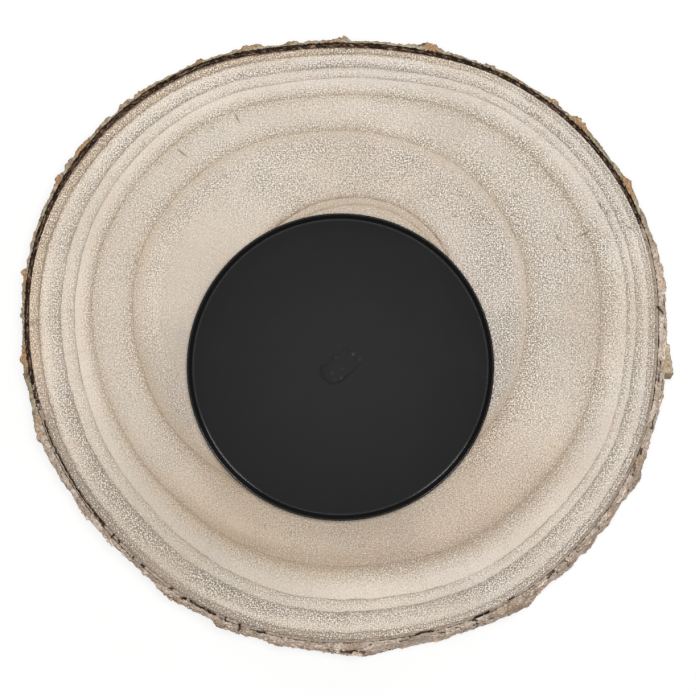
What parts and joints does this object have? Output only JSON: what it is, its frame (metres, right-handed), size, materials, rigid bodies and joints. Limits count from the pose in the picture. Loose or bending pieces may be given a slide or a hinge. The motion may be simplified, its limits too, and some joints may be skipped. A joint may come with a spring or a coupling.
{
  "type": "candle plate",
  "caption": "Round log slice with growth rings and a bark edge, carrying a shallow black metal dish with an upturned rim in which a pillar candle stands.",
  "frame": {"origin": "On the table, under the middle of the plate's outline.", "axes": "+Z up out of the dish, +X along the longest width of the slice (right in the picture), +Y up in the picture."},
  "size_m": [0.3016, 0.2874, 0.0481],
  "materials": {
    "wood": "sanded, unvarnished, pale ring-porous wood",
    "inner_bark": "dark brown, rough",
    "outer_bark": "grey-brown, lumpy, matt",
    "black_coating": "black powder coat, semi-matt",
    "steel": "bare",
    "felt": "brown felt"
  },
  "bodies": {
    "root": {"wood_slice": "wood", "inner_bark": "inner_bark", "outer_bark": "outer_bark", "candle_dish": "black_coating", "dish_pin": "steel", "felt_pad_1": "felt", "felt_pad_2": "felt", "felt_pad_3": "felt", "felt_pad_4": "felt"}
  },
  "joints": []
}
